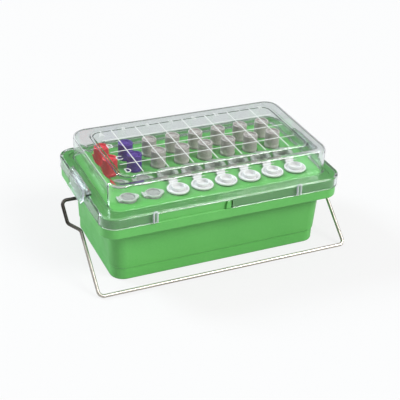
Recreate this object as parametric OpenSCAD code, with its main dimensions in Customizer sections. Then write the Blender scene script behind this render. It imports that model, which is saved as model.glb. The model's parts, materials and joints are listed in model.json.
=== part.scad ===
// Bench-top cryogenic storage box: gel-filled base with 32 wells, clear lid with two latches,
// wire carrying handle, screw-cap vials and snap-cap tubes. Millimetres, +Z up, origin on the
// bench under the centre of the box. +X runs along the row of eight, -Y is the front.

/* [Lid] */
// Length over the lid skirt
lid_l = 216.8; // [208:0.1:262]
// Width over the lid skirt
lid_w = 127.8; // [120:0.1:154]
// Height of the lid's dome and panel above the flange
dome_h = 24; // [21.5:0.1:40]
// Top of the lid flange above the bench
flange_z = 68.9; // [60:0.1:84]
// Thickness of the lid flange
flange_t = 1.9; // [1.2:0.1:2.2]
// Depth of the skirt below the top of the flange
skirt_h = 10.5; // [6:0.1:12]
// Wall of the skirt
skirt_wall = 2; // [1.2:0.1:3]
// Wall of the dome
dome_wall = 1.7; // [1.2:0.1:2.2]
// Distance from the edge of the flange to the dome
flange_reach = 10.1; // [9:0.1:16]
// Corner radius of the flange
flange_r = 14; // [13:0.5:24]
// Corner radius of the dome
dome_r = 11; // [9:0.5:16]
// Radius of the dome's top edge
dome_edge = 4; // [2:0.5:6]
// Margin from the dome's side to the raised panel
panel_margin = 12; // [8:0.5:13]
// Height of the raised panel
panel_rise = 1; // [0.6:0.1:2]

/* [Base] */
// Taper of the tub, each side, from the collar to the bench
taper = 2.9; // [0:0.1:8]
// Wall of the tub
tub_wall = 2.5; // [1.5:0.1:4]
// Floor of the tub
tub_floor = 3; // [2:0.1:5]
// Height of the foot band
foot_h = 11; // [4:0.5:20]
// Step of the foot band
foot_step = 0.7; // [0.3:0.1:2]
// Corner radius of the tub
tub_r = 12; // [10:0.5:16]
// Height of the collar
collar_h = 9.2; // [8:0.1:14]
// Inset of the collar from the skirt
collar_inset = 1; // [0.5:0.1:2]
// Drop from the rim to the deck
deck_drop = 0.5; // [0:0.1:1]
// Thickness of the deck
deck_t = 2; // [1.5:0.1:3]
// Width of the rim round the deck
rim_wall = 5.6; // [4:0.1:7]

/* [Wells] */
// Distance between wells, both ways
pitch = 22; // [21:0.1:23.4]
// Bore of a well
well_d = 13.2; // [11:0.1:15.8]
// Depth of a well below the deck
well_depth = 42; // [38:0.5:50]
// Wall of a well cup
cup_wall = 1; // [0.8:0.1:1.4]

/* [Vials] */
// Diameter of a screw cap
screw_cap_d = 12.8; // [11.4:0.1:15.4]
// Height of a screw cap
screw_cap_h = 14.8; // [10:0.1:17.8]
// Width of a closed snap cap
snap_cap_d = 14; // [13:0.1:16]
// Diameter of an open snap cap
wide_cap_d = 19; // [16:0.1:20]
// Thickness of a snap cap
snap_cap_t = 2.2; // [1.6:0.1:2.4]

/* [Handle] */
// Diameter of the handle wire
wire_d = 3; // [2.4:0.1:3.6]
// How far in front of the skirt the bar lies
bar_gap = 4.4; // [3.2:0.1:20]
// Gap between the skirt and the handle arms
arm_gap = 4.2; // [3.5:0.1:10]
// How far the handle jogs outside its arms, to pass the latches
jog = 9.2; // [7:0.1:14]
// Bend radius of the wire at its centre line
bend_r = 4.5; // [3:0.5:6]

/* [Latches] */
// Width of a latch
latch_w = 34; // [20:1:42]
// Thickness of a latch
latch_t = 2; // [1.6:0.1:2.4]
// Diameter of a latch pin
latch_pin_d = 2; // [1.5:0.1:2.2]

/* [Hidden] */
COLS = 8;
rows = ["a", "b", "c", "d"];
screw_rows = [0, 1];
closed_cols = [0, 1];
open_cols = [2, 3, 4, 5, 6, 7];

$fn = 64;
eps = 0.01;
// Clearances
seat_gap = 0.3;
fit_gap = 0.05;
slot_gap = 0.4;

// Colours
GREEN = [0.42, 0.72, 0.40];
GREEN_DECK = [0.40, 0.68, 0.38];
GEL = [0.75, 0.90, 0.95];
CLEAR = [0.85, 0.92, 0.93, 0.35];
WHITE = [0.96, 0.96, 0.95];
GREY = [0.62, 0.60, 0.58];
RED = [0.82, 0.20, 0.24];
PURPLE = [0.33, 0.20, 0.58];
STEEL = [0.75, 0.74, 0.72];
FROSTED = [0.80, 0.83, 0.78, 0.8];

// Heights worked out from the driving sizes
lid_top_z = flange_z + dome_h;
flange_under = flange_z - flange_t;
skirt_z = flange_z - skirt_h;
rim_z = flange_under - seat_gap;
deck_z = rim_z - deck_drop;
collar_top_z = skirt_z - seat_gap;
collar_z = collar_top_z - collar_h;
dome_l = lid_l - 2 * flange_reach;
dome_w = lid_w - 2 * flange_reach;
dome_z = lid_top_z - panel_rise;
panel_l = dome_l - 2 * panel_margin;
panel_w = dome_w - 2 * panel_margin;
collar_l = lid_l - 2 * collar_inset;
collar_w = lid_w - 2 * collar_inset;
rim_l = lid_l - 2 * (skirt_wall + seat_gap);
rim_w = lid_w - 2 * (skirt_wall + seat_gap);
tub_top_l = dome_l - 2 * seat_gap;
tub_top_w = dome_w - 2 * seat_gap;
tub_bot_l = tub_top_l - 2 * taper;
tub_bot_w = tub_top_w - 2 * taper;
deck_l = rim_l - 2 * rim_wall;
deck_w = rim_w - 2 * rim_wall;
deck_r = flange_r - skirt_wall - rim_wall;
ledge_z = deck_z - deck_t;
plug_d = 14;
plug_t = 1.6;
plug_x = 60;
plug_lip = 2;
plug_inset = 0.4;
gel_top = ledge_z - seat_gap;
well_z = deck_z - well_depth;
cup_d = well_d + 2 * cup_wall;

// Handle: the arms drop from the pivot to a bar that lies on the bench
bush_wall = 1;
bush_d = wire_d + 2 * bush_wall;
bush_l = 8;
bush_sunk = 0.1;
pivot_z = collar_top_z - bush_d / 2 - bush_sunk;
bush_face_x = collar_l / 2 - bush_sunk;
wire_r = wire_d / 2;
arm_x = lid_l / 2 + arm_gap + wire_r;
jog_x = arm_x + jog;
bar_reach = lid_w / 2 + bar_gap;
arm_drop = pivot_z - wire_r;
arm_len = sqrt(bar_reach * bar_reach + arm_drop * arm_drop);
arm_y = -bar_reach / arm_len;
arm_zdir = -arm_drop / arm_len;
jog_out = 20.5;
jog_in = 28.5;
wire_end_x = bush_face_x - bush_l + 0.2;
bend_steps = 6;
bar_sides = 16;

// Latches: a barrel on a pin between two ears on the flange
latch_pin_x = lid_l / 2 - 1.8;
barrel_r = 2.2;
latch_pin_z = flange_z + barrel_r + seat_gap;
latch_in = lid_l / 2 + seat_gap + 0.3;
latch_foot_z = pivot_z + wire_r + 8 * seat_gap;
ear_w = 4.6;
ear_in = latch_w / 2 + seat_gap;

// Snap caps: the open cap lies on the deck, its hinge half way between two rows
open_cap_z = deck_z + seat_gap;
open_hinge_z = open_cap_z + snap_cap_t + 0.95;
wide_rim_z = 2 * open_hinge_z - open_cap_z - snap_cap_t - 0.2;
wide_rim_d = wide_cap_d - 0.4;
plug_ring_d = well_d - 1.8;
plug_ring_h = 3;
plug_ring_wall = 1.1;
mouth_d = plug_ring_d + 0.7;
strap_w = 7.6;
knuckle_r = 0.8;
tube_rim_t = 1.4;
closed_hinge_x = -(snap_cap_d / 2 + 1.6);
body_d = well_d - 1.4;

function col_x(c) = (c - (COLS - 1) / 2) * pitch;
function row_y(r) = (1.5 - r) * pitch;
function unit(v) = v / norm(v);

// ---- shared shapes ----

module round_rect(l, w, r) {
    square([l - 2 * r, w], center = true);
    square([l, w - 2 * r], center = true);
    for (sx = [-1, 1]) for (sy = [-1, 1])
        translate([sx * (l / 2 - r), sy * (w / 2 - r)]) circle(r);
}

module slab(l, w, r, z0, z1) {
    translate([0, 0, z0]) linear_extrude(z1 - z0) round_rect(l, w, r);
}

// Box with round vertical corners, tapered from the top size to the bottom size
module tapered_box(l0, w0, l1, w1, r, z0, z1) {
    hull() {
        for (sx = [-1, 1]) for (sy = [-1, 1]) {
            translate([sx * (l0 / 2 - r), sy * (w0 / 2 - r), z0]) cylinder(r = r, h = eps, $fn = 48);
            translate([sx * (l1 / 2 - r), sy * (w1 / 2 - r), z1 - eps]) cylinder(r = r, h = eps, $fn = 48);
        }
    }
}

// Box with round vertical corners and a rounded top edge
module dome_solid(l, w, r, edge, z0, z1) {
    hull() {
        for (sx = [-1, 1]) for (sy = [-1, 1])
            translate([sx * (l / 2 - r), sy * (w / 2 - r), 0]) {
                translate([0, 0, z0]) cylinder(r = r, h = z1 - edge - z0, $fn = 48);
                for (a = [0, 30, 60])
                    translate([0, 0, z1 - edge + edge * sin(a)])
                        cylinder(r1 = r - edge * (1 - cos(a)), r2 = r - edge * (1 - cos(a + 30)),
                            h = edge * (sin(a + 30) - sin(a)), $fn = 48);
            }
    }
}

// Points of a round bend at b, between the runs a-b and b-c
function bend_points(a, b, c, bend) =
    let (u = unit(b - a), w = unit(c - b), turn = acos(u * w), n = unit(w - (u * w) * u),
        hub = b - u * bend * tan(turn / 2) + n * bend)
    [for (k = [0 : bend_steps]) let (a = turn * k / bend_steps)
        hub - n * bend * cos(a) + u * bend * sin(a)];

// Centre line with every inner corner rounded
function rounded(pts, bend) = [for (i = [0 : len(pts) - 1])
    each (i == 0 || i == len(pts) - 1 ? [pts[i]] : bend_points(pts[i - 1], pts[i], pts[i + 1], bend))];

// Round bar swept along a centre line, square to it at each point
module swept_bar(path, r) {
    last = len(path) - 1;
    tangents = [for (i = [0 : last]) unit(path[min(i + 1, last)] - path[max(i - 1, 0)])];
    up = [1, 0.3, 0.8];
    points = [for (i = [0 : last])
        let (t = tangents[i], x = unit(cross(t, up)), y = cross(t, x))
            for (k = [0 : bar_sides - 1])
                path[i] + r * cos(360 * k / bar_sides) * x + r * sin(360 * k / bar_sides) * y];
    n = bar_sides;
    sides = [for (i = [0 : last - 1]) for (k = [0 : n - 1])
        each [[i * n + k, (i + 1) * n + (k + 1) % n, i * n + (k + 1) % n],
            [i * n + k, (i + 1) * n + k, (i + 1) * n + (k + 1) % n]]];
    ends = [[for (k = [0 : n - 1]) k], [for (k = [n - 1 : -1 : 0]) last * n + k]];
    polyhedron(points, concat(sides, ends));
}

// ---- base ----

module tub_shell() {
    color(GREEN) difference() {
        union() {
            slab(tub_bot_l, tub_bot_w, tub_r, 0, foot_h + 0.5);
            tapered_box(tub_bot_l + 2 * foot_step, tub_bot_w + 2 * foot_step,
                tub_top_l, tub_top_w, tub_r, foot_h, ledge_z);
            slab(collar_l, collar_w, flange_r - collar_inset, collar_z, collar_top_z);
            slab(rim_l, rim_w, flange_r - skirt_wall - seat_gap, skirt_z - 1, rim_z);
            front_peg();
        }
        tapered_box(tub_bot_l - 2 * tub_wall, tub_bot_w - 2 * tub_wall,
            tub_top_l - 2 * tub_wall, tub_top_w - 2 * tub_wall, tub_r - tub_wall, tub_floor, ledge_z + 1);
        slab(deck_l + slot_gap, deck_w + slot_gap, deck_r, ledge_z, rim_z + 1);
        for (s = [-1, 1])
            translate([s * (bush_face_x - bush_l - 0.2), 0, pivot_z])
                rotate([0, s * 90, 0]) cylinder(d = bush_d + 2 * fit_gap, h = 20);
        translate([plug_x, 0, -1]) cylinder(d = plug_d + 2 * fit_gap, h = plug_t + 1);
        translate([plug_x, 0, 0]) cylinder(d = plug_d - 2 * plug_lip, h = tub_floor + 1);
    }
}

// Peg on the rim that fills the right end of the lid's front window
peg_w = 4.4;
module front_peg() {
    y = rim_w / 2;
    translate([-peg_w / 2, 0, 0]) rotate([90, 0, 90]) linear_extrude(peg_w)
        polygon([[-y + 1, skirt_z], [-y - skirt_wall, skirt_z], [-y - skirt_wall, skirt_z + 2.5],
            [-y + 1, flange_under - 0.9]]);
}

module upright(d, z0, z1) {
    translate([0, 0, z0]) cylinder(d = d, h = z1 - z0);
}

module each_well() {
    for (r = [0 : 3]) for (c = [0 : COLS - 1]) translate([col_x(c), row_y(r), 0]) children();
}

module deck_plate() {
    color(GREEN_DECK) difference() {
        slab(deck_l, deck_w, deck_r, ledge_z, deck_z);
        each_well() upright(well_d, ledge_z - 1, deck_z + 1);
    }
}

// Row of well cups, welded face to face under the deck
module well_cups(r) {
    color(GREEN_DECK) for (c = [0 : COLS - 1]) translate([col_x(c), row_y(r), 0]) difference() {
        upright(cup_d, well_z - cup_wall, ledge_z);
        upright(well_d, well_z, ledge_z + 1);
    }
}

module gel_core() {
    inset = tub_wall + seat_gap;
    color(GEL) difference() {
        tapered_box(tub_bot_l - 2 * inset, tub_bot_w - 2 * inset, tub_top_l - 2 * inset,
            tub_top_w - 2 * inset, tub_r - inset, tub_floor, gel_top);
        each_well() upright(cup_d + 2 * seat_gap, well_z - cup_wall - seat_gap, gel_top + 1);
    }
}

module fill_plug() {
    color(WHITE) translate([plug_x, 0, 0]) {
        translate([0, 0, plug_inset]) cylinder(d = plug_d, h = plug_t - plug_inset);
        translate([0, 0, plug_t])
            cylinder(d = plug_d - 2 * plug_lip - 2 * fit_gap, h = tub_floor - plug_t - fit_gap);
    }
}

module bush(s) {
    color(WHITE) translate([s * (bush_face_x - bush_l), 0, pivot_z]) rotate([0, s * 90, 0])
        difference() {
            cylinder(d = bush_d, h = bush_l);
            translate([0, 0, -1]) cylinder(d = wire_d + 2 * fit_gap, h = bush_l + 2);
        }
}

// ---- lid ----

rib_x = 65;
rib_out = 1.6;
rib_h = 12;
window_x0 = -63.5;
window_x1 = 3.2;

// Loop moulded on the skirt: two bars joined over the top
module rib_loop() {
    translate([0, 0, skirt_z]) difference() {
        union() {
            translate([-ear_w / 2, -rib_out, 0]) cube([ear_w, rib_out + 1, rib_h - ear_w / 2]);
            translate([0, 1, rib_h - ear_w / 2]) rotate([90, 0, 0]) cylinder(d = ear_w, h = rib_out + 1);
        }
        translate([-1.1, -rib_out - 1, -1]) cube([2.2, rib_out + 0.6, rib_h - 1.5]);
    }
}

// Ear that holds one end of a latch pin
module latch_ear(s, t) {
    x = s * latch_pin_x;
    y0 = t > 0 ? ear_in : -ear_in - ear_w;
    translate([0, y0, 0]) rotate([-90, 0, 0]) translate([x, -latch_pin_z, 0]) difference() {
        union() {
            cylinder(d = 5, h = ear_w);
            translate([-2.5, 0, 0]) cube([5, latch_pin_z - flange_under - 0.5, ear_w]);
        }
        translate([0, 0, -1]) cylinder(d = latch_pin_d + 2 * fit_gap, h = ear_w + 2);
    }
}

module lid_shell() {
    color(CLEAR) difference() {
        union() {
            dome_solid(dome_l, dome_w, dome_r, dome_edge, flange_under, dome_z);
            slab(panel_l, panel_w, dome_r - 2, dome_z - 0.5, lid_top_z);
            slab(lid_l, lid_w, flange_r, skirt_z, flange_z);
            for (s = [-1, 1]) {
                translate([s * rib_x, -lid_w / 2, 0]) rib_loop();
                translate([s * rib_x, lid_w / 2, 0]) rotate([0, 0, 180]) rib_loop();
            }
            for (s = [-1, 1]) for (t = [-1, 1]) latch_ear(s, t);
        }
        dome_solid(dome_l - 2 * dome_wall, dome_w - 2 * dome_wall, dome_r - dome_wall,
            dome_edge - dome_wall, skirt_z - 1, dome_z - dome_wall);
        slab(panel_l - 2 * dome_wall, panel_w - 2 * dome_wall, dome_r - 3, dome_z - dome_wall - 1,
            lid_top_z - dome_wall);
        slab(lid_l - 2 * skirt_wall, lid_w - 2 * skirt_wall, flange_r - skirt_wall,
            skirt_z - 1, flange_under);
        translate([window_x0, -lid_w / 2 - 3, skirt_z - 1])
            cube([window_x1 - window_x0, 3 + skirt_wall + 1, flange_under - 0.5 - skirt_z + 1]);
    }
}

print_t = 0.2;
line_w = 0.8;
grid_x = (COLS - 1) / 2 * pitch;

module stroke(x0, y0, x1, y1, w) {
    l = norm([x1 - x0, y1 - y0]);
    translate([x0, y0]) rotate(atan2(y1 - y0, x1 - x0)) translate([-w / 2, -w / 2]) square([l + w, w]);
}

module lid_grid_print() {
    color(WHITE) translate([0, 0, lid_top_z]) linear_extrude(print_t) {
        for (i = [1 : COLS - 1])
            translate([(i - COLS / 2) * pitch, 0]) square([line_w, panel_w - 6], center = true);
        for (j = [-1, 0, 1])
            translate([0, j * pitch]) square([2 * grid_x + 6, line_w], center = true);
    }
}

// Plain block letters, drawn with straight and round strokes
glyph_h = 5.6;
glyph_w = 4;
module arc_stroke(x, y, r, a0, a1, w) {
    steps = 8;
    for (k = [0 : steps - 1]) {
        b0 = a0 + (a1 - a0) * k / steps;
        b1 = a0 + (a1 - a0) * (k + 1) / steps;
        stroke(x + r * cos(b0), y + r * sin(b0), x + r * cos(b1), y + r * sin(b1), w);
    }
}

module letter(n) {
    h = glyph_h;
    w = glyph_w;
    q = h / 4;
    if (n == 0) {
        stroke(0, 0, w / 2, h, line_w);
        stroke(w / 2, h, w, 0, line_w);
        stroke(w / 4, h / 3, 3 * w / 4, h / 3, line_w);
    }
    if (n == 1) {
        stroke(0, 0, 0, h, line_w);
        for (y = [0, h / 2, h]) stroke(0, y, w - q, y, line_w);
        for (y = [q, 3 * q]) arc_stroke(w - q, y, q, -90, 90, line_w);
    }
    if (n == 2) arc_stroke(h / 2, h / 2, h / 2, 50, 310, line_w);
    if (n == 3) {
        stroke(0, 0, 0, h, line_w);
        for (y = [0, h]) stroke(0, y, w - h / 2, y, line_w);
        arc_stroke(w - h / 2, h / 2, h / 2, -90, 90, line_w);
    }
}

module lid_row_letters() {
    color(WHITE) translate([0, 0, lid_top_z]) linear_extrude(print_t)
        for (r = [0 : 3]) translate([col_x(0) - glyph_w / 2, row_y(r) - glyph_h / 2]) letter(r);
}

// Bars of a seven-bar digit: top, top right, bottom right, bottom, bottom left, top left, middle
digit_bars = [[0, 1, 1, 0, 0, 0, 0], [1, 1, 0, 1, 1, 0, 1], [1, 1, 1, 1, 0, 0, 1], [0, 1, 1, 0, 0, 1, 1],
    [1, 0, 1, 1, 0, 1, 1], [1, 0, 1, 1, 1, 1, 1], [1, 1, 1, 0, 0, 0, 0], [1, 1, 1, 1, 1, 1, 1]];
digit_h = 4.4;
digit_w = 2.6;
digit_line = 0.6;
module digit(n) {
    h = digit_h;
    w = digit_w;
    ends = [[0, h, w, h], [w, h, w, h / 2], [w, h / 2, w, 0], [0, 0, w, 0], [0, 0, 0, h / 2],
        [0, h / 2, 0, h], [0, h / 2, w, h / 2]];
    for (k = [0 : 6])
        if (digit_bars[n][k] == 1) stroke(ends[k][0], ends[k][1], ends[k][2], ends[k][3], digit_line);
}

number_y = dome_w / 2 - panel_margin - 1.6 - digit_h;
module lid_column_numbers() {
    color(WHITE) translate([0, 0, lid_top_z]) linear_extrude(print_t)
        for (c = [0 : COLS - 1]) translate([col_x(c) - digit_w / 2, number_y]) digit(c);
}

// ---- latches ----

module latch(s) {
    b = latch_pin_x;
    z = latch_pin_z;
    i = latch_in;
    t = latch_t;
    f = latch_foot_z;
    color(CLEAR) mirror([s > 0 ? 0 : 1, 0, 0]) translate([0, latch_w / 2, 0]) rotate([90, 0, 0])
        difference() {
            union() {
                translate([b, z, 0]) cylinder(r = barrel_r, h = latch_w);
                linear_extrude(latch_w)
                    polygon([[b + 1.4, z], [b + 1.2, z + barrel_r - 0.5], [i, z + barrel_r - 0.6],
                        [i + t, z - 0.6], [i + t, f + 4], [i + t + 2, f + 0.8], [i + t + 1.4, f],
                        [i + 0.4, f + 2.6], [i, f + 4], [i, z - 1.2]]);
            }
            translate([b, z, -1]) cylinder(d = latch_pin_d + 2 * fit_gap, h = latch_w + 2);
        }
}

module latch_pin(s) {
    l = 2 * (ear_in + ear_w);
    color(CLEAR) translate([s * latch_pin_x, l / 2, latch_pin_z]) rotate([90, 0, 0])
        cylinder(d = latch_pin_d, h = l);
}

// ---- handle ----

function arm_at(s, x, d) = [s * x, d * arm_y, pivot_z + d * arm_zdir];

module handle_wire() {
    left = [[-wire_end_x - 0.5, 0, pivot_z], [-jog_x, 0, pivot_z], arm_at(-1, jog_x, jog_out),
        arm_at(-1, arm_x, jog_in), arm_at(-1, arm_x, arm_len)];
    right = [arm_at(1, arm_x, arm_len), arm_at(1, arm_x, jog_in), arm_at(1, jog_x, jog_out),
        [jog_x, 0, pivot_z], [wire_end_x + 0.5, 0, pivot_z]];
    color(STEEL) union() {
        swept_bar(rounded(concat(left, right), bend_r), wire_r - 0.02);
        for (s = [-1, 1])
            translate([s * wire_end_x, 0, pivot_z]) rotate([0, s * 90, 0])
                cylinder(r = wire_r, h = jog_x - bend_r - 1 - wire_end_x);
    }
}

// ---- screw-cap vials ----

neck_d = screw_cap_d - 3.8;
cap_skin = 1.4;
cap_top_t = 1.6;
module vial_body() {
    z0 = well_z;
    cone = 3;
    rotate_extrude() polygon([[0, z0], [body_d / 2 - cone, z0], [body_d / 2, z0 + cone],
        [body_d / 2, deck_z], [neck_d / 2, deck_z], [neck_d / 2, deck_z + screw_cap_h - cap_top_t - 0.4],
        [0, deck_z + screw_cap_h - cap_top_t - 0.4]]);
}

module vials_row(r) {
    color(FROSTED) for (c = [0 : COLS - 1]) translate([col_x(c), row_y(r), 0]) vial_body();
}

// Cap with a foot ring, a hollow for the neck, and a ringed recess in its top
module screw_cap() {
    r = screw_cap_d / 2;
    h = screw_cap_h;
    rotate_extrude() polygon([[neck_d / 2 + 0.2, 0], [r + 0.2, 0], [r + 0.2, 1.8], [r - 0.1, 2.2],
        [r - 0.1, 2.8], [r, 3.2], [r, h - 0.6], [r - 0.6, h], [r - cap_skin, h],
        [r - cap_skin - 0.2, h - 1.1], [r - 3.4, h - 1.1], [r - 3.6, h - 0.5], [0, h - 0.5], [0, h - cap_top_t - 0.2],
        [neck_d / 2 + 0.2, h - cap_top_t - 0.2]]);
}

function cap_colour(c) = c == 0 ? RED : c == 1 ? PURPLE : GREY;

module screw_cap_at(r, c) {
    color(cap_colour(c)) translate([col_x(c), row_y(r), deck_z]) screw_cap();
}

// ---- closed snap-cap tubes ----

closed_cap_z = deck_z + tube_rim_t;
module closed_tube(r, c) {
    z0 = well_z;
    cone = 8;
    color(FROSTED) translate([col_x(c), row_y(r), 0]) {
        rotate_extrude() polygon([[0, z0], [1.5, z0], [body_d / 2 - 0.6, z0 + cone],
            [body_d / 2 - 0.6, deck_z], [well_d / 2 + 0.4, deck_z], [well_d / 2 + 0.4, closed_cap_z], [0, closed_cap_z]]);
        translate([closed_hinge_x + knuckle_r + 0.15, -strap_w / 2, deck_z])
            cube([3, strap_w, tube_rim_t - 0.2]);
    }
}

// Flat cap with a thumb tab on the right and its hinge on the left, raised rim, sunk centre
module closed_cap(r, c) {
    w = snap_cap_d;
    h = closed_hinge_x;
    color(FROSTED) translate([col_x(c), row_y(r), closed_cap_z + 0.1]) {
        difference() {
            linear_extrude(snap_cap_t - 0.4) {
                circle(d = w);
                polygon([[h + 0.6, -strap_w / 2], [-w * 0.3, -w * 0.4], [-w * 0.3, w * 0.4],
                    [h + 0.6, strap_w / 2]]);
                polygon([[w * 0.25, -w * 0.43], [w / 2 + 2.6, -2.4], [w / 2 + 2.6, 2.4],
                    [w * 0.25, w * 0.43]]);
            }
            translate([0, 0, snap_cap_t - 0.9]) cylinder(d = w - 2.6, h = 2);
        }
        translate([h, strap_w / 2, 0.2]) rotate([90, 0, 0]) cylinder(r = knuckle_r, h = strap_w);
    }
}

// ---- open snap-cap tubes ----

fill_z = deck_z - 8;
module open_tube(c) {
    z0 = well_z;
    cone = 8;
    r = wide_rim_d / 2;
    zr = wide_rim_z;
    hinge = pitch / 2;
    color(FROSTED) translate([col_x(c), row_y(2), 0]) {
        rotate_extrude() polygon([[0, z0], [1.5, z0], [body_d / 2, z0 + cone], [body_d / 2, deck_z - 3],
            [mouth_d / 2 + 0.5, deck_z - 2], [mouth_d / 2 + 0.5, deck_z + 0.3],
            [mouth_d / 2 + 1.2, deck_z + 1.4], [r - 0.3, deck_z + 2.2],
            [r, deck_z + 2.6], [r, zr - 0.4], [r - 0.4, zr], [mouth_d / 2, zr], [mouth_d / 2, deck_z - 1],
            [mouth_d / 2 - 1.2, deck_z - 2.4], [mouth_d / 2 - 1.2, fill_z], [0, fill_z]]);
        translate([-strap_w / 2, -hinge + knuckle_r + 0.15, zr - 2.2])
            cube([strap_w, hinge - knuckle_r - 0.15 - r + 1, 1.1]);
    }
}

// Cap folded open, inner face up: disc with a rolled rim, plug ring, strap and hinge knuckle
module open_cap(c) {
    y = row_y(2) - pitch;
    z = open_cap_z;
    t = snap_cap_t;
    d = wide_cap_d;
    hz = open_hinge_z - z;
    color(WHITE) translate([col_x(c), y, z]) {
        rotate_extrude() polygon([[0, 0], [d / 2 - 0.8, 0], [d / 2, 0.8], [d / 2, t - 0.5], [d / 2 - 0.5, t],
            [d / 2 - 1.1, t], [d / 2 - 1.7, t - 0.8], [plug_ring_d / 2, t - 0.8],
            [plug_ring_d / 2 - 0.2, t + plug_ring_h - 0.8],
            [plug_ring_d / 2 - plug_ring_wall, t + plug_ring_h - 0.8],
            [plug_ring_d / 2 - plug_ring_wall - 0.2, t - 0.8], [0, t - 0.8]]);
        translate([-strap_w / 2, 0, 0]) rotate([90, 0, 90]) linear_extrude(strap_w) {
            polygon([[d / 2 - 1.3, 0.6], [d / 2 + 0.2, 0.6], [pitch / 2 - 0.2, hz - knuckle_r],
                [pitch / 2 - knuckle_r, hz + 0.2], [d / 2 - 0.8, t - 0.1], [d / 2 - 1.3, t - 0.4]]);
            translate([pitch / 2, hz]) circle(knuckle_r);
        }
    }
}

// ---- nodes ----

tub_shell();
deck_plate();
for (r = [0 : 3]) well_cups(r);
gel_core();
fill_plug();
bush(-1);  // bush_left
bush(1);  // bush_right
lid_shell();
lid_grid_print();
lid_row_letters();
lid_column_numbers();
latch(-1);  // latch_left
latch(1);  // latch_right
latch_pin(-1);  // latch_pin_left
latch_pin(1);  // latch_pin_right
handle_wire();
for (r = screw_rows) vials_row(r);
for (r = screw_rows) for (c = [0 : COLS - 1])
    screw_cap_at(r, c);
for (r = [2, 3]) for (c = closed_cols)
    closed_tube(r, c);
for (r = [2, 3]) for (c = closed_cols)
    closed_cap(r, c);
for (c = open_cols) open_tube(c);
for (c = open_cols) open_cap(c);
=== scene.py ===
"""Looks of a bench-top cryogenic storage box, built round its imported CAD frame."""

import json
from math import acos, cos, exp, hypot, pi, radians, sin, tan

import bmesh
import bpy
from mathutils import Matrix, Vector


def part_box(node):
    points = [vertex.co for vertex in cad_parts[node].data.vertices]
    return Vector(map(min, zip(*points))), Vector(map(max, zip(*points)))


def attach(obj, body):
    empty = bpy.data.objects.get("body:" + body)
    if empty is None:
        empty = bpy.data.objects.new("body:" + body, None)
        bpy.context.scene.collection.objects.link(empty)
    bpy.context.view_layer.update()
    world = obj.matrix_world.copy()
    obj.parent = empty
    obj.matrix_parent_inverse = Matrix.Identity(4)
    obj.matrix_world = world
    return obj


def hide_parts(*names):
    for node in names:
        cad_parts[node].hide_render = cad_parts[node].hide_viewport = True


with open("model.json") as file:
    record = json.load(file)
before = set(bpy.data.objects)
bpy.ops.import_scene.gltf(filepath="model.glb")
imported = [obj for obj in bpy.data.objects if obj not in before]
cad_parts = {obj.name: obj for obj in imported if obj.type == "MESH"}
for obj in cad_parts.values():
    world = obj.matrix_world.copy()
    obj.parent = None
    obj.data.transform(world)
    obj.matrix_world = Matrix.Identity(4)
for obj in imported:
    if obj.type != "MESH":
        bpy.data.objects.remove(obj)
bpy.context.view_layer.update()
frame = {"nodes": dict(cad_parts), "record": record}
nodes = frame["nodes"]
slot_of = {s["node"]: s["material_slot"] for s in frame["record"]["subparts"]}

# Sizes are in millimetres and become metres when a mesh is made.
MM = 0.001
CORNER_STEPS = 10
ROUND_SIDES = 48


def box_mm(node):
    """Lowest and highest corner of a CAD node, in millimetres."""
    lo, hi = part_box(node)
    return lo / MM, hi / MM


# ---- sizes that follow the frame ----

COLLAR_L, COLLAR_W, RIM_Z = (box_mm("tub_shell")[1][i] * k for i, k in ((0, 2), (1, 2), (2, 1)))
DECK_L, DECK_W, DECK_Z = (box_mm("deck_plate")[1][i] * k for i, k in ((0, 2), (1, 2), (2, 1)))
WELL_Z = box_mm("vials_row_a")[0].z
SKIRT_Z, LID_TOP = box_mm("lid_shell")[0].z, box_mm("lid_shell")[1].z
LID_L, LID_W = COLLAR_L + 2, COLLAR_W + 2
FLANGE_Z = SKIRT_Z + 10.5
FLANGE_UNDER = FLANGE_Z - 1.9
DOME_L, DOME_W, DOME_Z = LID_L - 20.2, LID_W - 20.2, LID_TOP - 1
PANEL_L, PANEL_W = DOME_L - 24, DOME_W - 24
DOME_WALL = 1.7
TUB_L, TUB_W = DOME_L - 0.6, DOME_W - 0.6
TAPER = 5.8
FOOT_H, FOOT_STEP = 11, 1.4
COLLAR_Z, COLLAR_TOP = SKIRT_Z - 9.5, SKIRT_Z - 0.3
LEDGE_Z = DECK_Z - 2
RIM_L, RIM_W = LID_L - 4.6, LID_W - 4.6
PITCH, WELL_R = 22, 6.6
COLS = 8
PIVOT_Z = SKIRT_Z - 2.9


def col_x(c):
    return (c - 4.5) * PITCH


def row_y(r):
    return (1.5 - "abcd".index(r)) * PITCH


# ---- mesh building ----


def outline(l, w, r, z):
    """A level ring in the shape of a rounded rectangle."""
    ring = []
    for k, (sx, sy) in enumerate(((1, 1), (-1, 1), (-1, -1), (1, -1))):
        for i in range(CORNER_STEPS + 1):
            a = pi / 2 * (k + i / CORNER_STEPS)
            ring.append((sx * (l / 2 - r) + r * cos(a), sy * (w / 2 - r) + r * sin(a), z))
    return ring


def toward(here, other, reach):
    """Point at that distance from here to the other, at most half way.

    In a profile of rounded rectangles the first value is the full length, so half of it counts.
    """
    across = (other[0] - here[0]) / (2 if len(here) > 2 else 1)
    share = min(0.5, reach / hypot(across, other[-1] - here[-1]))
    return [h + (o - h) * share for h, o in zip(here, other)]


def soften(points, steps=4):
    """Rounds each corner of a profile by its last value, and drops that value."""
    made = []
    for i, p in enumerate(points):
        here, bend = p[:-1], p[-1]
        if bend == 0 or i in (0, len(points) - 1):
            made.append(here)
            continue
        start, end = (toward(here, points[j][:-1], bend) for j in (i - 1, i + 1))
        for k in range(steps + 1):
            t = k / steps
            weights = (1 - t) ** 2, 2 * t * (1 - t), t * t
            made.append([sum(w * v for w, v in zip(weights, vs)) for vs in zip(start, here, end)])
    return made


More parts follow.
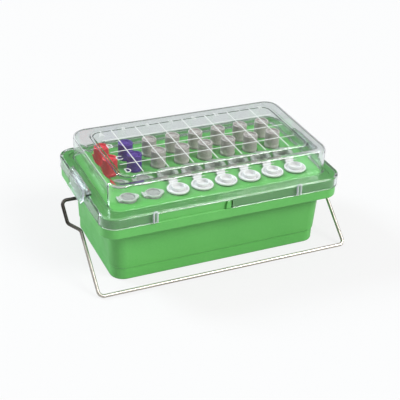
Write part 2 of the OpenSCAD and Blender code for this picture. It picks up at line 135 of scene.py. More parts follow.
def loft(rings, closed=False):
    """Vertices and faces of the skin through equal rings, with flat ends unless it closes on itself."""
    n, count = len(rings[0]), len(rings)
    faces = []
    for i in range(count if closed else count - 1):
        j = (i + 1) % count
        faces += [(i * n + k, i * n + (k + 1) % n, j * n + (k + 1) % n, j * n + k) for k in range(n)]
    if not closed:
        faces += [tuple(range(n)), tuple((count - 1) * n + k for k in range(n))]
    return [p for ring in rings for p in ring], faces


def rounded_box(profile, steps=4):
    """Loft of rounded rectangles (length, width, corner radius, height, edge rounding)."""
    return loft([outline(*p) for p in soften(profile, steps)])


def lathe(profile, x=0, y=0, sides=ROUND_SIDES):
    """Turned solid from a profile of (radius, height, edge rounding)."""
    rings = []
    for r, z in soften(profile, 3):
        turns = [2 * pi * k / sides for k in range(sides)]
        rings.append([(x + r * cos(a), y + r * sin(a), z) for a in turns])
    return loft(rings)


def extrude_y(points, y0, y1, bevel):
    """Solid of a flat X-Z outline between two Y values, its ends eased by a small bevel."""
    centre = sum((Vector(p) for p in points), Vector((0, 0))) / len(points)
    reach = max((Vector(p) - centre).length for p in points)
    rings = []
    for y, inset in ((y0, bevel), (y0 + bevel, 0), (y1 - bevel, 0), (y1, bevel)):
        scale = 1 - inset / reach
        rings.append([(centre.x + (x - centre.x) * scale, y, centre.y + (z - centre.y) * scale)
            for x, z in points])
    return loft(rings)


def bend_at(a, b, c, radius):
    """Points of a round bend at b, between the runs a-b and b-c."""
    steps = 8
    u, w = (b - a).normalized(), (c - b).normalized()
    turn = acos(max(-1, min(1, u.dot(w))))
    inward = (w - u * u.dot(w)).normalized()
    hub = b - u * radius * tan(turn / 2) + inward * radius
    angles = [turn * k / steps for k in range(steps + 1)]
    return [hub - inward * radius * cos(a) + u * radius * sin(a) for a in angles]


def sweep(path, radius, sides=20):
    """Round bar along a path."""
    rings, side = [], Vector((0.3, 0.5, 0.8))
    for i, p in enumerate(path):
        ahead = (path[min(i + 1, len(path) - 1)] - path[max(i - 1, 0)]).normalized()
        side = (side - ahead * side.dot(ahead)).normalized()
        up = ahead.cross(side)
        angles = [2 * pi * k / sides for k in range(sides)]
        rings.append([p + (side * cos(a) + up * sin(a)) * radius for a in angles])
    return loft(rings)


def join(*solids):
    """Several solids as one list of vertices and faces."""
    verts, faces = [], []
    for v, f in solids:
        faces += [tuple(i + len(verts) for i in face) for face in f]
        verts += v
    return verts, faces


def solid_object(name, solid, material=None):
    mesh = bpy.data.meshes.new(name)
    mesh.from_pydata([Vector(v) * MM for v in solid[0]], [], solid[1])
    bm = bmesh.new()
    bm.from_mesh(mesh)
    bmesh.ops.recalc_face_normals(bm, faces=bm.faces)
    bm.to_mesh(mesh)
    bm.free()
    if material:
        mesh.materials.append(material)
    obj = bpy.data.objects.new(name, mesh)
    bpy.context.scene.collection.objects.link(obj)
    return obj


def carve(obj, solid, operation="DIFFERENCE"):
    """Cuts a solid out of an object, or joins one to it."""
    tool = solid_object("tool", solid)
    change = obj.modifiers.new("carve", "BOOLEAN")
    change.operation, change.object, change.solver = operation, tool, "MANIFOLD"
    depsgraph = bpy.context.evaluated_depsgraph_get()
    mesh = bpy.data.meshes.new_from_object(obj.evaluated_get(depsgraph))
    obj.modifiers.clear()
    obj.data = mesh
    bpy.data.objects.remove(tool)
    return obj


def place(obj, body, stands_for=(), sharp=32):
    """Smooths the mesh between its sharp edges, ties the piece to its body and hides the CAD nodes it stands
    for.
    """
    obj.data.shade_smooth()
    obj.data.set_sharp_from_angle(angle=radians(sharp))
    even = obj.modifiers.new("even", "WEIGHTED_NORMAL")
    even.keep_sharp, even.weight = True, 90
    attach(obj, body)
    if stands_for:
        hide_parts(*stands_for)
    return obj


# ---- materials ----


def new_material(name, **values):
    """A Principled material. Keys are socket names with _ for a space."""
    material = bpy.data.materials.new(name)
    material.use_nodes = True
    bsdf = material.node_tree.nodes["Principled BSDF"]
    for key, value in values.items():
        bsdf.inputs[key.replace("_", " ")].default_value = value
    return material, material.node_tree, bsdf


def noise_in(tree, scale, detail, stretch=(1, 1, 1)):
    """Noise on the piece's own coordinates. Scale is in features per metre."""
    coords = tree.nodes.new("ShaderNodeTexCoord")
    mapping = tree.nodes.new("ShaderNodeMapping")
    mapping.inputs["Scale"].default_value = stretch
    noise = tree.nodes.new("ShaderNodeTexNoise")
    noise.inputs["Scale"].default_value = scale
    noise.inputs["Detail"].default_value = detail
    tree.links.new(coords.outputs["Object"], mapping.inputs["Vector"])
    tree.links.new(mapping.outputs["Vector"], noise.inputs["Vector"])
    return noise.outputs["Fac"]


def ranged(tree, value, low, high, start=0.3, stop=0.7):
    node = tree.nodes.new("ShaderNodeMapRange")
    for key, number in (("From Min", start), ("From Max", stop), ("To Min", low), ("To Max", high)):
        node.inputs[key].default_value = number
    tree.links.new(value, node.inputs["Value"])
    return node.outputs["Result"]


def blend_colours(tree, factor, first, second):
    """Mix of two colours; either may be a socket."""
    node = tree.nodes.new("ShaderNodeMix")
    node.data_type = "RGBA"
    tree.links.new(factor, node.inputs[0])
    for colour, socket in ((first, node.inputs[6]), (second, node.inputs[7])):
        if isinstance(colour, tuple):
            socket.default_value = (*colour, 1)
        else:
            tree.links.new(colour, socket)
    return node.outputs[2]


def edge_mask(tree, radius):
    """1 on convex and concave edges, 0 on flat faces."""
    bevel = tree.nodes.new("ShaderNodeBevel")
    bevel.samples = 4
    bevel.inputs["Radius"].default_value = radius
    geometry = tree.nodes.new("ShaderNodeNewGeometry")
    dot = tree.nodes.new("ShaderNodeVectorMath")
    dot.operation = "DOT_PRODUCT"
    tree.links.new(bevel.outputs["Normal"], dot.inputs[0])
    tree.links.new(geometry.outputs["Normal"], dot.inputs[1])
    return ranged(tree, dot.outputs["Value"], 1, 0, 0.7, 0.995)


def add_bump(tree, bsdf, *layers):
    """Stacks bumps of (height socket, strength, distance in mm) on the shader's normal."""
    previous = None
    for height, strength, distance in layers:
        bump = tree.nodes.new("ShaderNodeBump")
        bump.inputs["Strength"].default_value = strength
        bump.inputs["Distance"].default_value = distance * MM
        tree.links.new(height, bump.inputs["Height"])
        if previous:
            tree.links.new(previous, bump.inputs["Normal"])
        previous = bump.outputs["Normal"]
    tree.links.new(previous, bsdf.inputs["Normal"])


def moulded_plastic(name, colour, shade, light, rough=(0.3, 0.42), wear_and_crevice_shade=0.5):
    """Opaque moulded plastic: slow colour drift, fine spark-eroded grain and, unless the last value is zero,
    paler rubbed edges and painted shade from ambient occlusion that darkens crevices."""
    material, tree, bsdf = new_material(name)
    drift = ranged(tree, noise_in(tree, 22, 3), 0, 1)
    speck = ranged(tree, noise_in(tree, 520, 6), 0, 1, 0.35, 0.75)
    body = blend_colours(tree, drift, colour, shade)
    flecked = blend_colours(tree, ranged(tree, speck, 0, 0.12, 0, 1), body, light)
    if wear_and_crevice_shade:
        rubbed = ranged(tree, edge_mask(tree, 0.6 * MM), 0, wear_and_crevice_shade, 0, 1)
        flecked = blend_colours(tree, rubbed, flecked, light)
        # Painted shade: ambient occlusion darkens the colour in crevices and recesses.
        crevice_shade = tree.nodes.new("ShaderNodeAmbientOcclusion")
        crevice_shade.samples = 4
        crevice_shade.inputs["Distance"].default_value = 2.4 * MM
        painted_crevice_shade = ranged(tree, crevice_shade.outputs["AO"], 0.55, 0, 0.25, 0.85)
        flecked = blend_colours(tree, painted_crevice_shade, flecked, tuple(0.3 * v for v in shade))
    tree.links.new(flecked, bsdf.inputs["Base Color"])
    tree.links.new(ranged(tree, noise_in(tree, 90, 5), *rough), bsdf.inputs["Roughness"])
    add_bump(tree, bsdf, (noise_in(tree, 1400, 3), 0.12, 0.05), (noise_in(tree, 60, 2), 0.05, 0.4))
    return material


def clear_plastic(name, tint, ior, absorb, density, rough=(0.01, 0.06), grip=0):
    """Clear moulded plastic that lets the lamps through, with faint flow marks and, with grip, fine ribs."""
    material, tree, bsdf = new_material(name, Base_Color=(*tint, 1), IOR=ior, Transmission_Weight=1.0)
    tree.links.new(ranged(tree, noise_in(tree, 140, 6, (1, 3, 1)), *rough), bsdf.inputs["Roughness"])
    layers = [(noise_in(tree, 45, 2), 0.06, 0.5), (noise_in(tree, 900, 2), 0.02, 0.05)]
    if grip:
        coords = tree.nodes.new("ShaderNodeTexCoord")
        ribs = tree.nodes.new("ShaderNodeTexWave")
        ribs.bands_direction = "Y"
        ribs.inputs["Scale"].default_value = grip
        tree.links.new(coords.outputs["Object"], ribs.inputs["Vector"])
        layers.append((ribs.outputs["Fac"], 0.6, 0.3))
    add_bump(tree, bsdf, *layers)
    output = tree.nodes["Material Output"]
    path = tree.nodes.new("ShaderNodeLightPath")
    either = tree.nodes.new("ShaderNodeMath")
    either.operation = "MAXIMUM"
    tree.links.new(path.outputs["Is Shadow Ray"], either.inputs[0])
    tree.links.new(path.outputs["Is Diffuse Ray"], either.inputs[1])
    open_way = tree.nodes.new("ShaderNodeBsdfTransparent")
    open_way.inputs["Color"].default_value = (*(0.97 * t for t in tint), 1)
    mix = tree.nodes.new("ShaderNodeMixShader")
    tree.links.new(either.outputs[0], mix.inputs[0])
    tree.links.new(bsdf.outputs[0], mix.inputs[1])
    tree.links.new(open_way.outputs[0], mix.inputs[2])
    tree.links.new(mix.outputs[0], output.inputs["Surface"])
    volume = tree.nodes.new("ShaderNodeVolumeAbsorption")
    volume.inputs["Color"].default_value = (*absorb, 1)
    volume.inputs["Density"].default_value = density
    tree.links.new(volume.outputs[0], output.inputs["Volume"])
    return material


def frosted_plastic(name, colour, shade, light, transmission, rough):
    """Milky polypropylene, clearer on its faces, with a painted highlight that pales it along edges."""
    material, tree, bsdf = new_material(name, Transmission_Weight=transmission, IOR=1.3)
    cloud = ranged(tree, noise_in(tree, 70, 3), 0, 1)
    body = blend_colours(tree, cloud, colour, shade)
    # Painted highlight: the edge mask blends the colour toward the pale colour along edges.
    tree.links.new(blend_colours(tree, edge_mask(tree, 0.7 * MM), body, light), bsdf.inputs["Base Color"])
    tree.links.new(ranged(tree, noise_in(tree, 300, 3), *rough), bsdf.inputs["Roughness"])
    add_bump(tree, bsdf, (noise_in(tree, 900, 3), 0.05, 0.03))
    return material


def drawn_steel(name):
    """Drawn stainless wire: streaks along its length, and a painted dark reflection that turns it near-black
    up by the pivots.
    """
    material, tree, bsdf = new_material(name, Metallic=1.0)
    streak = ranged(tree, noise_in(tree, 260, 5, (0.06, 1, 1)), 0, 1)
    drawn = blend_colours(tree, streak, (0.62, 0.58, 0.52), (0.50, 0.465, 0.41))
    coords = tree.nodes.new("ShaderNodeTexCoord")
    split = tree.nodes.new("ShaderNodeSeparateXYZ")
    tree.links.new(coords.outputs["Object"], split.inputs[0])
    # Painted dark reflection: above 30 mm the colour fades to near-black, fully by 44 mm.
    pivot_dark_reflection = ranged(tree, split.outputs["Z"], 0, 1, 30 * MM, 44 * MM)
    tree.links.new(blend_colours(tree, pivot_dark_reflection, drawn, (0.05, 0.045, 0.04)), bsdf.inputs["Base Color"])
    tree.links.new(ranged(tree, noise_in(tree, 120, 5), 0.32, 0.42), bsdf.inputs["Roughness"])
    add_bump(tree, bsdf, (noise_in(tree, 1500, 4, (0.05, 1, 1)), 0.05, 0.02))
    return material


def frozen_gel(name):
    """Cooling gel: cloudy, with fine frost."""
    material, tree, bsdf = new_material(name, IOR=1.35)
    bsdf.inputs["Subsurface Weight"].default_value = 0.5
    bsdf.inputs["Subsurface Radius"].default_value = (0.004, 0.006, 0.008)
    frost = ranged(tree, noise_in(tree, 240, 8), 0, 1)
    cloudy = blend_colours(tree, frost, (0.55, 0.78, 0.88), (0.86, 0.94, 0.97))
    tree.links.new(cloudy, bsdf.inputs["Base Color"])
    tree.links.new(ranged(tree, noise_in(tree, 500, 4), 0.25, 0.6), bsdf.inputs["Roughness"])
    add_bump(tree, bsdf, (noise_in(tree, 400, 6), 0.4, 0.3))
    return material


MATERIALS = {
    "green_body": moulded_plastic(
        "green_body", (0.115, 0.46, 0.095), (0.10, 0.42, 0.085), (0.22, 0.56, 0.18)),
    "green_deck": moulded_plastic(
        "green_deck", (0.11, 0.43, 0.09), (0.095, 0.40, 0.08), (0.20, 0.52, 0.17)),
    "gel": frozen_gel("gel"),
    "nylon": moulded_plastic("nylon", (0.80, 0.80, 0.77), (0.74, 0.74, 0.71), (0.88, 0.88, 0.86)),
    "clear_lid": clear_plastic("clear_lid", (0.955, 0.965, 0.96), 1.5, (0.55, 0.66, 0.64), 22),
    "white_print": moulded_plastic(
        "white_print", (0.56, 0.57, 0.55), (0.5, 0.51, 0.49), (0.66, 0.66, 0.65), wear_and_crevice_shade=0),
    "steel_wire": drawn_steel("steel_wire"),
    "tube_clear": frosted_plastic(
        "tube_clear", (0.62, 0.64, 0.60), (0.54, 0.56, 0.52), (0.85, 0.87, 0.83), 0.5, (0.26, 0.38)),
    "cap_red": moulded_plastic(
        "cap_red", (0.82, 0.035, 0.06), (0.72, 0.028, 0.05), (0.9, 0.2, 0.22), (0.25, 0.38)),
    "cap_purple": moulded_plastic(
        "cap_purple", (0.10, 0.03, 0.33), (0.08, 0.025, 0.27), (0.24, 0.15, 0.5), (0.25, 0.38)),
    "cap_grey": moulded_plastic(
        "cap_grey", (0.52, 0.47, 0.445), (0.48, 0.435, 0.41), (0.84, 0.82, 0.79), (0.25, 0.4)),
    "cap_white": moulded_plastic(
        "cap_white", (0.76, 0.75, 0.745), (0.70, 0.69, 0.685), (0.88, 0.88, 0.87), (0.28, 0.4)),
}
# Looks that share a slot with another piece: the slots stay as the CAD record has them.
LATCH = clear_plastic("latch_clear", (0.93, 0.94, 0.95), 1.25, (0.6, 0.7, 0.7), 10, (0.12, 0.26), 120)
# Paler opaque look for the closed caps' rims: a painted highlight on the rim of the translucent cap.
SNAP_RIM_HIGHLIGHT = moulded_plastic("snap_rim_highlight", (0.50, 0.55, 0.49), (0.43, 0.48, 0.42), (0.74, 0.77, 0.72), (0.2, 0.3))
# Pale frosted look for the clear skirt loops: its pale colour and paler edges are a painted highlight.
SKIRT_LOOP_HIGHLIGHT = frosted_plastic(
    "skirt_loop_highlight", (0.80, 0.84, 0.83), (0.72, 0.77, 0.76), (0.95, 0.96, 0.96), 0.45, (0.15, 0.3))

for name, obj in nodes.items():
    obj.data.materials.clear()
    obj.data.materials.append(LATCH if name.startswith("latch") else MATERIALS[slot_of[name]])


# ---- tub and deck ----


def tub():
    """Tapered tub with foot band, collar and rim, hollow for the gel."""
    at_collar = (COLLAR_Z - FOOT_H) / (LEDGE_Z - FOOT_H)
    foot_l, foot_w = TUB_L - TAPER, TUB_W - TAPER
    low_l, low_w = foot_l + FOOT_STEP, foot_w + FOOT_STEP
    mid_l = low_l + (TUB_L - low_l) * at_collar
    mid_w = low_w + (TUB_W - low_w) * at_collar
    wall, r = 5, 12
    profile = [
        (foot_l - 3, foot_w - 3, r - 1.5, 0, 0),
        (foot_l, foot_w, r, 0, 1.1),
        (foot_l, foot_w, r, FOOT_H - 0.2, 0.3),
        (low_l, low_w, r + 0.5, FOOT_H + 0.5, 0.6),
        (mid_l, mid_w, r + 0.5, COLLAR_Z, 1.2),
        (COLLAR_L, COLLAR_W, 13, COLLAR_Z, 1.0),
        (COLLAR_L, COLLAR_W, 13, COLLAR_TOP, 0.5),
        (RIM_L, RIM_W, 11.7, COLLAR_TOP, 0.3),
        (RIM_L, RIM_W, 11.7, RIM_Z, 0.5),
        (DECK_L + 0.4, DECK_W + 0.4, 6.4, RIM_Z, 0.4),
        (DECK_L + 0.4, DECK_W + 0.4, 6.4, LEDGE_Z, 0.2),
        (TUB_L - wall, TUB_W - wall, r - 2.5, LEDGE_Z, 0.2),
        (foot_l - wall, foot_w - wall, r - 2.5, 3, 0),
    ]
    obj = solid_object("tub_moulding", rounded_box(profile), MATERIALS["green_body"])
    bush_bore, plug_seat, plug_hole, plug_x = 2.55, 7.05, 5, 60
    bores = []
    for s in (-1, 1):
        x0, x1 = s * (COLLAR_L / 2 - 8.5), s * (COLLAR_L / 2 + 4)
        bores.append(sweep([Vector((x0, 0, PIVOT_Z)), Vector((x1, 0, PIVOT_Z))], bush_bore, 40))
    bores.append(lathe([(plug_seat, -1, 0), (plug_seat, 1.6, 0)], plug_x))
    bores.append(lathe([(plug_hole, 1, 0), (plug_hole, 4, 0)], plug_x))
    for bore in bores:
        carve(obj, bore)
    half, tip_half, shoulder_z, tip_z = 2.2, 1.2, SKIRT_Z + 3, FLANGE_UNDER - 1.2
    peg = [(-half, SKIRT_Z), (half, SKIRT_Z), (half, shoulder_z), (tip_half, tip_z), (-tip_half, tip_z),
        (-half, shoulder_z)]
    front = -RIM_W / 2
    carve(obj, extrude_y(peg, front - 1.9, front + 1, 0.5), "UNION")
    return place(obj, "base", ["tub_shell"])


def deck():
    """Deck with 32 wells: each has an eased lip, a thin cup and a rounded bottom."""
    plate = rounded_box([
        (DECK_L - 2, DECK_W - 2, 5.4, LEDGE_Z, 0), (DECK_L, DECK_W, 6.4, LEDGE_Z, 0.2),
        (DECK_L, DECK_W, 6.4, DECK_Z, 0.5), (DECK_L - 2, DECK_W - 2, 5.4, DECK_Z, 0)])
    obj = solid_object("deck_moulding", plate, MATERIALS["green_deck"])
    centres = [(col_x(c), row_y(r)) for r in "abcd" for c in range(1, COLS + 1)]
    cup_r, lip_r = WELL_R + 1, WELL_R + 0.7
    cup = [(5, WELL_Z - 1, 0), (cup_r, WELL_Z - 1, 1.5), (cup_r, DECK_Z - 1, 0)]
    well = [(4, WELL_Z, 0), (WELL_R, WELL_Z, 1.5), (WELL_R, DECK_Z - 0.9, 0.6), (lip_r, DECK_Z + 0.05, 0.2),
        (lip_r, DECK_Z + 1, 0)]
    carve(obj, join(*(lathe(cup, x, y) for x, y in centres)), "UNION")
    carve(obj, join(*(lathe(well, x, y) for x, y in centres)))
    stands_for = ["deck_plate"] + [n for n in nodes if n.startswith("well_cups")]
    return place(obj, "base", stands_for)


# ---- lid ----

RIB_X = 65
WINDOW = (-63.5, 3.2)
PIN_X, PIN_Z = LID_L / 2 - 1.8, FLANGE_Z + 2.5
EAR_Y = (17.3, 21.9)


def rib_path(x, y):
    """Centre line of one moulded loop on the skirt."""
    r, foot, crown = 1.55, SKIRT_Z + 0.9, SKIRT_Z + 9.2
    over = [Vector((x - r * cos(pi * k / 10), y, crown + r * sin(pi * k / 10))) for k in range(11)]
    return [Vector((x - r, y, foot)), *over, Vector((x + r, y, foot))]


def ear(s, y0, y1):
    """Ear on the flange that holds a latch pin."""
    x, r, z0 = s * PIN_X, 2.45, FLANGE_UNDER + 0.6
    top = [(x + r * cos(pi * k / 12), PIN_Z + r * sin(pi * k / 12)) for k in range(13)]
    return extrude_y([(x + r, z0), *top, (x - r, z0)], y0, y1, 0.4)


def lid():
    """Clear lid: raised panel, domed body, flange and skirt, with ears, a front window and loops in a pale
    frosted look that paints their highlights.
    """
    w = DOME_WALL * 2
    profile = [
        (PANEL_L - 2, PANEL_W - 2, 8, LID_TOP, 0),
        (PANEL_L, PANEL_W, 9, LID_TOP, 0.7),
        (PANEL_L + 1.2, PANEL_W + 1.2, 9.6, DOME_Z, 0.6),
        (DOME_L, DOME_W, 11, DOME_Z, 4.4),
        (DOME_L, DOME_W, 11, FLANGE_Z, 1.2),
        (LID_L, LID_W, 14, FLANGE_Z, 1.5),
        (LID_L, LID_W, 14, SKIRT_Z, 0.6),
        (LID_L - 4, LID_W - 4, 12, SKIRT_Z, 0.6),
        (LID_L - 4, LID_W - 4, 12, FLANGE_UNDER, 0.8),
        (DOME_L - w, DOME_W - w, 9.3, FLANGE_UNDER, 1.0),
        (DOME_L - w, DOME_W - w, 9.3, DOME_Z - DOME_WALL, 2.6),
        (PANEL_L - w, PANEL_W - w, 8, DOME_Z - DOME_WALL, 0.6),
        (PANEL_L - w - 1, PANEL_W - w - 1, 7.5, LID_TOP - DOME_WALL, 0.6),
        (PANEL_L - w - 3, PANEL_W - w - 3, 6.5, LID_TOP - DOME_WALL, 0),
    ]
    obj = solid_object("lid_moulding", rounded_box(profile, 5), MATERIALS["clear_lid"])
    ribs = [rib_path(s * RIB_X, t * (LID_W / 2 + 0.55)) for s in (-1, 1) for t in (-1, 1)]
    for number, path in enumerate(ribs):
        loop = solid_object(f"skirt_loop_highlight_{number}", sweep(path, 0.95, 16), SKIRT_LOOP_HIGHLIGHT)
        place(loop, "lid")
    reach, pin_hole = EAR_Y[1] + 1, 1.05
    for s in (-1, 1):
        for y0, y1 in (EAR_Y, (-EAR_Y[1], -EAR_Y[0])):
            carve(obj, ear(s, y0, y1), "UNION")
        carve(obj, sweep([Vector((s * PIN_X, y, PIN_Z)) for y in (-reach, reach)], pin_hole, 32))
    x0, x1 = WINDOW
    below, top, ease = SKIRT_Z - 1, FLANGE_UNDER - 0.5, 0.8
    window = [(x0, below), (x1, below), (x1, top - ease), (x1 - ease, top), (x0 + ease, top),
        (x0, top - ease)]
    carve(obj, extrude_y(window, -LID_W / 2 - 3, -LID_W / 2 + 3, 0.01))
    return place(obj, "lid", ["lid_shell"])


# ---- handle ----


def handle():
    """Wire bail: pins in the bushes, jogs that clear the latches, arms and the bar on the bench."""
    wire = 1.5
    arm_x, jog_x, bend = LID_L / 2 + 5.7, LID_L / 2 + 14.9, 4.5
    bar_y = -68.3
    drop = Vector((0, bar_y, wire - PIVOT_Z))
    along = drop.normalized()

    def arm(x, d):
        return Vector((x, 0, PIVOT_Z)) + along * d

    pin_x = COLLAR_L / 2 - 7.9
    jog_out, jog_in = 20.5, 28.5
    left = [Vector((-pin_x, 0, PIVOT_Z)), Vector((-jog_x, 0, PIVOT_Z)), arm(-jog_x, jog_out),
        arm(-arm_x, jog_in), arm(-arm_x, drop.length)]
    corners = left + [Vector((-p.x, p.y, p.z)) for p in reversed(left)]
    path = [corners[0]]
    for a, b, c in zip(corners, corners[1:], corners[2:]):
        path += bend_at(a, b, c, bend)
    path.append(corners[-1])
    obj = solid_object("handle_bail", sweep(path, wire - 0.01, 24), MATERIALS["steel_wire"])
    return place(obj, "handle", ["handle_wire"])


# ---- vials and tubes ----

KNUCKLE_HALF = 3.8

def ribbed_cap(name, x, y, material):
    """Screw cap: foot ring, fine grip ribs, ringed recess in the top, hollow for the neck."""
    r, h, ribs, groove, z = 6.4, 14.8, 36, 0.22, DECK_Z
    sides = ribs * 4
    profile = [(4.7, 0, 0), (r + 0.2, 0, 0.3), (r + 0.2, 1.8, 0.3), (r - 0.1, 2.3, 0.1), (r - 0.1, 2.8, 0.1),
        (r, 3.3, 0.2), (r, h, 0.7), (r - 1.1, h, 0.3), (r - 1.4, h - 1.5, 0.2), (r - 3.2, h - 1.5, 0.2),
        (r - 3.5, h - 0.4, 0.3), (0.3, h - 0.4, 0), (0.3, h - 1.8, 0), (4.7, h - 1.8, 0)]
    rings = []
    for radius, height in soften(profile, 3):
        ribbed = radius > r - 0.05 and 3.2 < height < h - 0.6
        ring = []
        for k in range(sides):
            a = 2 * pi * k / sides
            reach = radius - (groove if ribbed and k % 4 in (2, 3) else 0)
            ring.append((x + reach * cos(a), y + reach * sin(a), z + height))
        rings.append(ring)
    return solid_object(name, loft(rings, closed=True), material)


def screw_caps():
    for r in "ab":
        for c in range(1, COLS + 1):
            node = f"screw_cap_{r}{c}"
            slot = slot_of[node]
            obj = ribbed_cap(f"ribbed_cap_{r}{c}", col_x(c), row_y(r), MATERIALS[slot])
            place(obj, "base", [node], 40)


def ribbon(path, width, thick, x):
    """Flat strap along a Y-Z path, with rounded sides."""
    sides = 16
    rings = []
    for i, (y, z) in enumerate(path):
        before, after = Vector(path[max(i - 1, 0)]), Vector(path[min(i + 1, len(path) - 1)])
        ahead = (after - before).normalized()
        up = Vector((-ahead.y, ahead.x))
        ring = []
        for k in range(sides):
            a = 2 * pi * k / sides
            side = (width / 2 - thick / 2) * (1 if cos(a) > 0 else -1) + thick / 2 * cos(a)
            lift = up * sin(a) * thick / 2
            ring.append((x + side, y + lift.x, z + lift.y))
        rings.append(ring)
    return loft(rings)


def knuckle(*ends):
    """Short hinge bar between two points."""
    return sweep([Vector(end) for end in ends], 0.78)


def open_caps():
    """White snap caps lying open, inner face up: rolled rim, plug ring and strap."""
    lo = box_mm("open_cap_c3")[0].z
    t, r = 2.2, 9.5
    profile = [(0.4, 0, 0), (r - 0.8, 0, 0.2), (r, 0.8, 0.4), (r, t, 0.7), (r - 1.2, t, 0.5),
        (r - 1.8, t - 0.9, 0.4), (5.9, t - 0.9, 0.4), (5.7, t + 1.9, 0.3), (5.0, t + 2.1, 0.3),
        (4.5, t - 0.8, 0.4), (1.4, t - 0.9, 0.2), (1.1, t - 0.5, 0.2), (0.4, t - 0.5, 0)]
    for c in range(3, COLS + 1):
        x, y = col_x(c), row_y("d")
        verts, faces = lathe(profile, x, y, sides=64)
        disc = [(vx, vy, vz + lo) for vx, vy, vz in verts], faces
        edge, hinge_y, hinge_z = y + r, y + PITCH / 2, lo + t + 0.95
        path = [(edge - 1.2, lo + 1.2), (edge + 0.1, lo + 1.25), (edge + 0.7, lo + 1.7),
            (edge + 1.0, lo + 2.5), (hinge_y - 0.1, hinge_z)]
        strap = ribbon(path, 7.5, 1.1, x)
        bar = knuckle((x - KNUCKLE_HALF, hinge_y, hinge_z), (x + KNUCKLE_HALF, hinge_y, hinge_z))
        obj = solid_object(f"snap_cap_c{c}", join(disc, strap, bar), MATERIALS["cap_white"])
        place(obj, f"open_cap_c{c}", [f"open_cap_c{c}"])


def pick_ring(x, y, z, radius, grow):
    """Ring of a closed snap cap: round, with a thumb tab on the right and its hinge on the left."""
    ring, sides = [], 72
    for k in range(sides):
        a = 2 * pi * k / sides
        tab = 2.5 * exp(-((min(a, 2 * pi - a) / 0.42) ** 2))
        hinge = 0.9 * exp(-(((a - pi) / 0.5) ** 2))
        reach = radius + grow * (tab + hinge)
        ring.append((x + reach * cos(a), y + reach * sin(a), z))
    return ring


def closed_caps():
    """Translucent snap caps, shut: raised rim in a paler opaque look that paints its highlight, round a sunk
    centre.
    """
    profile = ((6.4, 0.9, 0), (6.9, 1, 0.35), (6.95, 1, 0.9), (6.8, 1, 1.5), (6.4, 0.8, 1.78), (5.9, 0, 1.75),
        (5.6, 0, 1.3), (5.3, 0, 0.65), (3.9, 0, 0.6), (3.5, 0, 1.1), (1.2, 0, 1.25))
    inner_rim, inner_web = 6.1, 6
    for r in "cd":
        for c in (1, 2):
            node = f"closed_cap_{r}{c}"
            lo = box_mm(node)[0].z
            x, y = col_x(c), row_y(r)
            rings = [pick_ring(x, y, lo + 0.02 + dz, radius, grow) for radius, grow, dz in profile]
            hinge_x, hinge_z = x - 8.6, lo + 0.82
            bar = knuckle((hinge_x, y - KNUCKLE_HALF, hinge_z), (hinge_x, y + KNUCKLE_HALF, hinge_z))
            web = extrude_y([(hinge_x, hinge_z - 0.5), (x - inner_web, hinge_z - 0.4),
                (x - inner_web, hinge_z + 0.5), (hinge_x, hinge_z + 0.4)], y - 3.4, y + 3.4, 0.2)
            obj = solid_object(f"closed_snap_{r}{c}", join(loft(rings), bar, web), MATERIALS["tube_clear"])
            # The rim faces take the paler look, a painted highlight.
            obj.data.materials.append(SNAP_RIM_HIGHLIGHT)
            for face in obj.data.polygons:
                middle = face.center / MM
                outside = hypot(middle.x - x, middle.y - y) > inner_rim
                if outside and middle.z > lo + 0.5 and len(face.vertices) == 4:
                    face.material_index = 1
            place(obj, node, [node])


tub()
deck()
lid()
handle()
screw_caps()
open_caps()
closed_caps()


# ---- stage, light and camera ----


def stage_floor():
    """Grey floor that the camera sees nearly white."""
    mesh = bpy.data.meshes.new("floor")
    side, z = 6, -0.2 * MM
    corners = [(-side, -side, z), (side, -side, z), (side, side, z), (-side, side, z)]
    mesh.from_pydata(corners, [], [(0, 1, 2, 3)])
    material, tree, bsdf = new_material("floor", Base_Color=(0.5, 0.5, 0.5, 1), Roughness=0.7)
    bsdf.inputs["Specular IOR Level"].default_value = 0.2
    glow = tree.nodes.new("ShaderNodeEmission")
    glow.inputs["Strength"].default_value = 1.0
    path = tree.nodes.new("ShaderNodeLightPath")
    seen = ranged(tree, path.outputs["Is Camera Ray"], 0, 0.8, 0, 1)
    mix = tree.nodes.new("ShaderNodeMixShader")
    tree.links.new(seen, mix.inputs[0])
    tree.links.new(bsdf.outputs[0], mix.inputs[1])
    tree.links.new(glow.outputs[0], mix.inputs[2])
    tree.links.new(mix.outputs[0], tree.nodes["Material Output"].inputs["Surface"])
    mesh.materials.append(material)
    floor = bpy.data.objects.new("floor", mesh)
    bpy.context.scene.collection.objects.link(floor)


def light(name, azimuth, elevation, strength, spread, colour=(1, 1, 1)):
    """Sun-like soft lamp from a direction in degrees; azimuth 0 is the front."""
    lamp = bpy.data.lights.new(name, "SUN")
    lamp.energy, lamp.angle, lamp.color = strength, radians(spread), colour
    obj = bpy.data.objects.new(name, lamp)
    a, e = radians(azimuth), radians(elevation)
    back = Vector((sin(a) * cos(e), -cos(a) * cos(e), sin(e)))
    obj.matrix_world = Matrix.Translation(back) @ back.to_track_quat("Z", "Y").to_matrix().to_4x4()
    bpy.context.scene.collection.objects.link(obj)


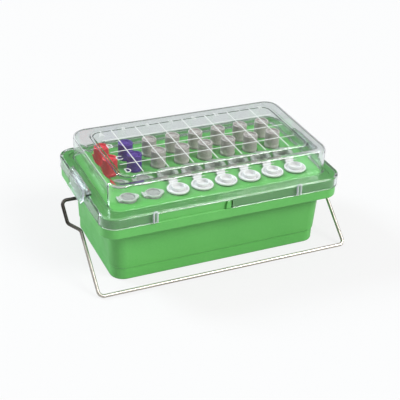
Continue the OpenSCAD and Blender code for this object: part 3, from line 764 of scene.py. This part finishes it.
def studio():
    """White for the camera; for reflections and light, dim walls with a bright ceiling."""
    world = bpy.data.worlds.new("studio")
    bpy.context.scene.world = world
    world.use_nodes = True
    tree = world.node_tree
    shade = tree.nodes["Background"]
    coords = tree.nodes.new("ShaderNodeTexCoord")
    split = tree.nodes.new("ShaderNodeSeparateXYZ")
    tree.links.new(coords.outputs["Generated"], split.inputs[0])
    ramp = tree.nodes.new("ShaderNodeValToRGB")
    stops = ((0.0, 0.15), (0.5, 0.22), (0.58, 0.3), (0.66, 0.18), (0.8, 0.2), (0.86, 0.7), (0.93, 1.2),
        (1.0, 1.3))
    ramp.color_ramp.elements[0].position, ramp.color_ramp.elements[1].position = 0, 1
    for position, _ in stops[1:-1]:
        ramp.color_ramp.elements.new(position)
    for element, (_, value) in zip(ramp.color_ramp.elements, stops):
        element.color = (value, value, value * 1.01, 1)
    half = ranged(tree, split.outputs["Z"], 0, 1, -1, 1)
    tree.links.new(half, ramp.inputs["Fac"])
    tree.links.new(ramp.outputs["Color"], shade.inputs["Color"])
    shade.inputs["Strength"].default_value = 1.0
    backdrop = tree.nodes.new("ShaderNodeBackground")
    backdrop.inputs["Color"].default_value = (1, 1, 1, 1)
    backdrop.inputs["Strength"].default_value = 1.05
    path = tree.nodes.new("ShaderNodeLightPath")
    mix = tree.nodes.new("ShaderNodeMixShader")
    tree.links.new(path.outputs["Is Camera Ray"], mix.inputs[0])
    tree.links.new(shade.outputs[0], mix.inputs[1])
    tree.links.new(backdrop.outputs[0], mix.inputs[2])
    tree.links.new(mix.outputs[0], tree.nodes["World Output"].inputs["Surface"])


def camera():
    """View from the front left and above, slightly rolled."""
    azimuth, elevation, roll = radians(-25.15), radians(30.46), radians(2.68)
    aim, distance = Vector((-10.51, -29.48, 50)) * MM, 859.9 * MM
    back = Vector((sin(azimuth) * cos(elevation), -cos(azimuth) * cos(elevation), sin(elevation)))
    right = Vector((cos(azimuth), sin(azimuth), 0))
    up = back.cross(right)
    x_axis = right * cos(roll) + up * sin(roll)
    y_axis = up * cos(roll) - right * sin(roll)
    lens = bpy.data.cameras.new("camera")
    lens.lens, lens.sensor_width, lens.clip_start = 91.13, 36, 0.01
    obj = bpy.data.objects.new("camera", lens)
    turn = Matrix((x_axis, y_axis, back)).transposed().to_4x4()
    obj.matrix_world = Matrix.Translation(aim + back * distance) @ turn
    bpy.context.scene.collection.objects.link(obj)
    bpy.context.scene.camera = obj


stage_floor()
light("key", 40, 40, 2.75, 28)
light("side", -138, 34, 3.3, 18, (0.84, 0.93, 1))
studio()
camera()
bpy.context.scene.view_settings.view_transform = "Standard"
